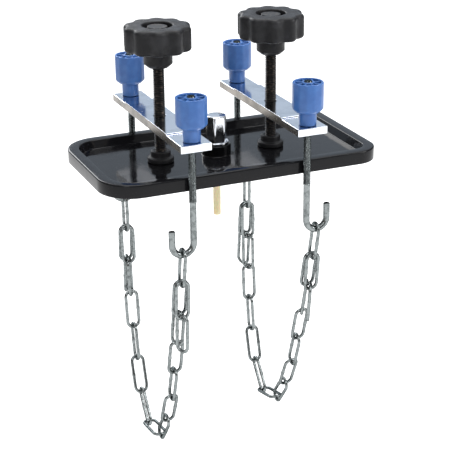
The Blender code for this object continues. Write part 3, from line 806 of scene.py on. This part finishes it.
def add_bar(side):
    node = f"{side}_clamp_bar"
    low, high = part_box(node)
    step_y = hook_axis(side, "back")[1] - BAR_STEP_INSET
    profile = bar_profile(low, high, step_y)
    bar = stand_in(node, ([[(x, y, z) for y, z in profile] for x in (low[0], high[0])], False))
    middle_x = (low[0] + high[0]) / 2
    holes = [(SCREW_HOLE, (middle_x, 0))]
    holes += [(ROD_HOLE, hook_axis(side, end)) for end in ("front", "back")]
    drills = [
        (turned([(radius, low[2] - MM, 0), (radius, high[2] + MM, 0)], 0, HOLE_SIDES, at), False)
        for radius, at in holes
    ]
    cutter = skin(f"{side} drill", drills)
    cut = bar.modifiers.new("holes", "BOOLEAN")
    cut.operation = "DIFFERENCE"
    cut.object = cutter
    ease = bar.modifiers.new("eased edges", "BEVEL")
    ease.width = BAR_EASE
    ease.segments = 3
    ease.harden_normals = True
    bake(bar)
    bpy.data.objects.remove(cutter)


for side in SIDES:
    add_bar(side)

# %% [markdown]
# ## Clamp screws, feet and star knobs
#
# The screw is an M8 bolt moulded into its knob. The thread runs nearly its whole length, down to a short
# plain tip that turns in the foot.

# %% Clamp screws
SCREW_RADIUS = 3.9 * MM
SCREW_PITCH = 1.25 * MM
SCREW_TIP = 1 * MM
SCREW_HEAD_FLAT = 6.5 * MM
SCREW_HEAD_HEIGHT = 5 * MM
SCREW_HEAD_CHAMFER = 0.8 * MM


def screw_axis(side):
    middle = centre_of(f"{side}_clamp_screw")
    return middle.x, middle.y


def add_screw(side):
    low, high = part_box(f"{side}_clamp_screw")
    at = screw_axis(side)
    head_z = high[2] - SCREW_HEAD_HEIGHT
    shank = [round_ring(SCREW_RADIUS - SCREW_TIP, low[2], THREAD_SIDES, at)]
    shank += threaded_rings(SCREW_RADIUS, SCREW_PITCH, low[2] + SCREW_TIP, head_z, at)
    corner = SCREW_HEAD_FLAT / math.cos(HALF_HEX_SIDE)
    limits = ((head_z, corner), (high[2] - SCREW_HEAD_CHAMFER, corner), (high[2], SCREW_HEAD_FLAT))
    head = [round_ring(SCREW_HEAD_FLAT, z, HEX_SIDES, at, chamfered(limit)) for z, limit in limits]
    stand_in(f"{side}_clamp_screw", (shank, False), (head, False))


for side in SIDES:
    add_screw(side)

# %% [markdown]
# The foot is a turned pad with a hub, a little rounded wherever a hand or the tray might meet it. The
# knob has ten lobes. A power of a cosine makes the valleys a little narrower than the lobes, and they
# fade out towards the hub below and the recess above, where the knob is round again.

# %% Clamp feet and star knobs
KNOB_LOBES = 10
KNOB_SCALLOP = 2.2 * MM
VALLEY_POWER = 1.2
KNOB_RADIUS = 22.7 * MM
KNOB_HEIGHT = 16.5 * MM
KNOB_HUB_RADIUS = 9.6 * MM
KNOB_HUB_HEIGHT = 9 * MM
KNOB_CONE_RADIUS = 6.5 * MM
KNOB_CONE_HEIGHT = 2.6 * MM
KNOB_RECESS_RADIUS = 10 * MM
KNOB_RECESS_DEPTH = 6.2 * MM
KNOB_RECESS_LAND = 3 * MM
KNOB_SIDES = KNOB_LOBES * 18
LOBE_START = 13 * MM
LOBE_RISE = KNOB_RADIUS - 15 * MM
FOOT_RADIUS = 9.0 * MM
FOOT_RIM = 3.2 * MM
FOOT_HUB_RADIUS = 6.8 * MM
FOOT_HUB_BASE = 3.8 * MM
FOOT_BORE = 4.1 * MM
FOOT_SOCKET = (2.5 * MM, 3.5 * MM)
FOOT_SIDES = 72


def lobed(radius, angle):
    """The knob's reach: round near its axis, scalloped near its rim."""
    share = min(max((radius - LOBE_START) / LOBE_RISE, 0), 1)
    valley = ((1 - math.cos(KNOB_LOBES * angle)) / 2) ** VALLEY_POWER
    return radius - share * KNOB_SCALLOP * valley


def add_foot(side):
    low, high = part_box(f"{side}_clamp_foot")
    height = high[2] - low[2]
    foot = turned([
        (SCREW_HOLE, FOOT_SOCKET[0], 0),
        (FOOT_BORE, 0, 0),
        (FOOT_RADIUS, 0, 0.8 * MM),
        (FOOT_RADIUS, FOOT_RIM, 0.8 * MM),
        (FOOT_HUB_RADIUS, FOOT_HUB_BASE, 0.5 * MM),
        (FOOT_HUB_RADIUS, height, 0.8 * MM),
        (SCREW_HOLE, height, 0.2 * MM),
        (SCREW_HOLE, FOOT_SOCKET[1], 0),
    ], low[2], FOOT_SIDES, screw_axis(side))
    stand_in(f"{side}_clamp_foot", (foot, True))


def add_knob(side):
    base_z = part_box(f"{side}_star_knob")[1][2] - KNOB_HEIGHT
    floor = KNOB_HEIGHT - KNOB_RECESS_DEPTH
    knob = turned([
        (SCREW_HOLE, -KNOB_HUB_HEIGHT - KNOB_CONE_HEIGHT, 0),
        (KNOB_CONE_RADIUS, -KNOB_HUB_HEIGHT - KNOB_CONE_HEIGHT, 0.6 * MM),
        (KNOB_HUB_RADIUS, -KNOB_HUB_HEIGHT, 0.8 * MM),
        (KNOB_HUB_RADIUS, 0, 1.2 * MM),
        (KNOB_RADIUS, 0, 2.4 * MM),
        (KNOB_RADIUS, KNOB_HEIGHT, 2.6 * MM),
        (KNOB_RECESS_RADIUS + KNOB_RECESS_LAND, KNOB_HEIGHT, 0),
        (KNOB_RECESS_RADIUS, KNOB_HEIGHT, 0.9 * MM),
        (KNOB_RECESS_RADIUS, floor, 0.8 * MM),
        (SCREW_HOLE, floor, 0),
    ], base_z, KNOB_SIDES, screw_axis(side), lobed, steps=6)
    stand_in(f"{side}_star_knob", (knob, True))


for side in SIDES:
    add_foot(side)
    add_knob(side)
print("knobs of", KNOB_SIDES, "sides")

# %% [markdown]
# ## Thumb nuts
#
# Each blue nut is hollow on top, with a boss round the rod and ribs from the boss to the wall. The
# moulder cores it out like that so that the thick head doesn't sink as it cools. Its grip has twelve
# shallow flats that fade out at the top and the bottom.

# %% Thumb nuts
NUT_NECK_RADIUS = 5.8 * MM
NUT_NECK_HEIGHT = 9 * MM
NUT_RADIUS = 10.25 * MM
NUT_SHOULDER = 2.2 * MM
NUT_WALL = 1.7 * MM
NUT_BOSS_RADIUS = 4.4 * MM
NUT_POCKET_DEPTH = 8 * MM
NUT_RIB = 1.1 * MM
NUT_RIBS = 8
NUT_FLATS = 12
RIB_BITE = 0.5 * MM
RIB_EASE = 0.3 * MM
FLAT_DEPTH = 0.22 * MM
FLAT_START = 9.9 * MM
FLAT_RISE = 0.3 * MM
NUT_SIDES = 96


def gripped(radius, angle):
    """The nut's reach: twelve shallow flats on its widest part."""
    share = min(max((radius - FLAT_START) / FLAT_RISE, 0), 1)
    return radius - share * FLAT_DEPTH * (1 - math.cos(NUT_FLATS * angle)) / 2


def rib(at, angle, low_z, high_z):
    """A radial wall from the boss to the nut's wall, with an eased top."""
    out = Vector((math.cos(angle), math.sin(angle), 0))
    side = Vector((-out.y, out.x, 0)) * NUT_RIB / 2
    base = Vector((*at, 0))
    rings = []
    low, brow, high = (Vector((0, 0, z)) for z in (low_z, high_z - RIB_EASE, high_z))
    for radius in (NUT_BOSS_RADIUS - RIB_BITE, NUT_RADIUS - NUT_WALL + RIB_BITE):
        spine = base + out * radius
        rings.append([
            spine - side + low,
            spine + side + low,
            spine + side + brow,
            spine + side * 0.5 + high,
            spine - side * 0.5 + high,
            spine - side + brow,
        ])
    return rings


def add_thumb_nut(side, end):
    node = f"{side}_{end}_thumb_nut"
    low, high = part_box(node)
    at = hook_axis(side, end)
    top = high[2] - low[2]
    pocket = top - NUT_POCKET_DEPTH
    body = turned([
        (ROD_HOLE, 0, 0),
        (NUT_NECK_RADIUS, 0, 0.4 * MM),
        (NUT_NECK_RADIUS, NUT_NECK_HEIGHT, 0.6 * MM),
        (NUT_RADIUS - NUT_SHOULDER, NUT_NECK_HEIGHT, 0.5 * MM),
        (NUT_RADIUS, NUT_NECK_HEIGHT + NUT_SHOULDER, 1.4 * MM),
        (NUT_RADIUS, top, 0.6 * MM),
        (NUT_RADIUS - NUT_WALL, top, 0.4 * MM),
        (NUT_RADIUS - NUT_WALL, pocket, 0.5 * MM),
        (NUT_BOSS_RADIUS, pocket, 0.5 * MM),
        (NUT_BOSS_RADIUS, top, 0.4 * MM),
        (ROD_HOLE, top, 0.2 * MM),
        (ROD_HOLE, pocket, 0),
    ], low[2], NUT_SIDES, at, gripped)
    ribs = [
        (rib(at, FULL_TURN * k / NUT_RIBS, low[2] + pocket - RIB_BITE, high[2] - RIB_BITE), False)
        for k in range(NUT_RIBS)
    ]
    stand_in(node, (body, True), *ribs)


for side in SIDES:
    for end in ("front", "back"):
        add_thumb_nut(side, end)

# %% [markdown]
# ## Hook bolts
#
# A hook bolt starts as a plain rod, thinner than its thread because the thread is rolled, and its lower
# end is bent round a mandrel. So it is swept along its path: rings of thread first, then plain rings
# whose plane turns with the bend.

# %% Hook bolts
ROD_RADIUS = 2.5 * MM
PLAIN_RADIUS = 2.2 * MM
ROD_PITCH = 0.8 * MM
THREAD_END_Z = -3 * MM
HOOK_BEND = 7.5 * MM
HOOK_TIP_RISE = 10 * MM
BEND_STEPS = 24
TIP_EASE = 0.35 * MM
NEAR_TIP = 1.1
THREAD_RUNOUT = (0.6 * MM, 2 * MM)


def swept_ring(point, run, radius):
    """A ring across a run in the XZ plane."""
    sideways = Vector((-run.z, 0, run.x))
    ring = []
    for i in range(THREAD_SIDES):
        angle = FULL_TURN * i / THREAD_SIDES
        ring.append(point + radius * (math.cos(angle) * sideways + math.sin(angle) * Vector((0, 1, 0))))
    return ring


def high_of_tip(node, tip_x):
    """The top of the hook's tip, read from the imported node's points near it."""
    points = [vertex.co for vertex in frame["nodes"][node].data.vertices]
    return max(point.z for point in points if abs(point.x - tip_x) < PLAIN_RADIUS * NEAR_TIP)


def add_hook(side, end):
    node = f"{side}_{end}_hook_bolt"
    top_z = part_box(node)[1][2]
    x, y = hook_axis(side, end)
    outward = SIDES[side]
    tip_x = x + outward * 2 * HOOK_BEND
    bend_z = high_of_tip(node, tip_x) - HOOK_TIP_RISE
    thread = threaded_rings(ROD_RADIUS, ROD_PITCH, THREAD_END_Z, top_z, (x, y))
    rings = [[Vector(point) for point in ring] for ring in reversed(thread)]
    for drop in THREAD_RUNOUT:
        plain = round_ring(PLAIN_RADIUS, THREAD_END_Z - drop, THREAD_SIDES, (x, y))
        rings.append([Vector(point) for point in plain])
    bend = Vector((x + outward * HOOK_BEND, y, bend_z))
    path = []
    for step in range(BEND_STEPS + 1):
        angle = math.pi * step / BEND_STEPS
        spoke = Vector((-outward * math.cos(angle), 0, -math.sin(angle)))
        run = Vector((outward * math.sin(angle), 0, -math.cos(angle)))
        path.append((bend + spoke * HOOK_BEND, run, PLAIN_RADIUS))
    up = Vector((0, 0, 1))
    tip = bend + Vector((outward * HOOK_BEND, 0, HOOK_TIP_RISE))
    path.append((tip - up * TIP_EASE, up, PLAIN_RADIUS))
    path.append((tip, up, PLAIN_RADIUS - TIP_EASE))
    for point, run, radius in path:
        rings.append(swept_ring(point, run, radius))
    stand_in(node, (rings, False))


for side in SIDES:
    for end in ("front", "back"):
        add_hook(side, end)

# %% [markdown]
# ## Chains
#
# A link is a length of wire bent into an oval and welded shut in the middle of one side, which leaves a
# small bead. Every third link has its weld on the other side, so that the chain doesn't look stamped.
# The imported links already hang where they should, so each new link only asks its packed one for its
# middle and its three directions. Its points' spread gives those: it is longest along the link, next
# across it, and least through it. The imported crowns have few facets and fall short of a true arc, so a
# round crown has to reach a little further to leave the same room for the next link.

# %% Chain links
LINK_STEPS = 14
LINK_SIDES = 14
STRAIGHT_STEPS = 12
WELD_SWELL = 0.20
WELD_LENGTH = 1.3 * MM
WIRE_RADIUS = 1.16 * MM
FACET_LOSS = 0.4 * MM
WELD_CYCLE = 3


def link_frame(node):
    """A packed link's middle, its directions from longest to shortest, and its sizes along them."""
    points = np.array([vertex.co for vertex in frame["nodes"][node].data.vertices])
    middle = points.mean(axis=0)
    directions = np.linalg.eigh(np.cov((points - middle).T))[1].T[::-1]
    spread = (points - middle) @ directions.T
    return Vector(middle), [Vector(d) for d in directions], np.ptp(spread, axis=0).tolist()


def oval(length, width):
    """(along, across, along-run, across-run) of points round a link's centreline."""
    bend = width / 2
    straight = length / 2 - bend
    points = []
    for sense in (1, -1):
        for step in range(LINK_STEPS + 1):
            angle = math.pi * step / LINK_STEPS
            along = sense * (straight + bend * math.sin(angle))
            points.append((along, sense * bend * math.cos(angle)))
        for step in range(1, STRAIGHT_STEPS):
            share = 1 - 2 * step / STRAIGHT_STEPS
            points.append((sense * straight * share, -sense * bend))
    return points


def add_link(node, number):
    middle, (long_way, wide_way, thin_way), size = link_frame(node)
    centreline = oval(size[0] + FACET_LOSS - 2 * WIRE_RADIUS, size[1] - 2 * WIRE_RADIUS)
    weld_side = 1 if number % WELD_CYCLE else -1
    rings = []
    for i, (along, across) in enumerate(centreline):
        before, after = centreline[i - 1], centreline[(i + 1) % len(centreline)]
        run = ((after[0] - before[0]) * long_way + (after[1] - before[1]) * wide_way).normalized()
        sideways = run.cross(thin_way)
        on_weld = across * weld_side > 0
        swell = 1 + on_weld * WELD_SWELL * math.exp(-((along / WELD_LENGTH) ** 2))
        spine = middle + along * long_way + across * wide_way
        ring = []
        for k in range(LINK_SIDES):
            angle = FULL_TURN * k / LINK_SIDES
            spoke = math.cos(angle) * sideways + math.sin(angle) * thin_way
            ring.append(spine + spoke * WIRE_RADIUS * swell)
        rings.append(ring)
    stand_in(node, (rings, True))


links = [node for node in body_of if "_link_" in node]
for number, node in enumerate(links):
    add_link(node, number)
print(len(links), "links")
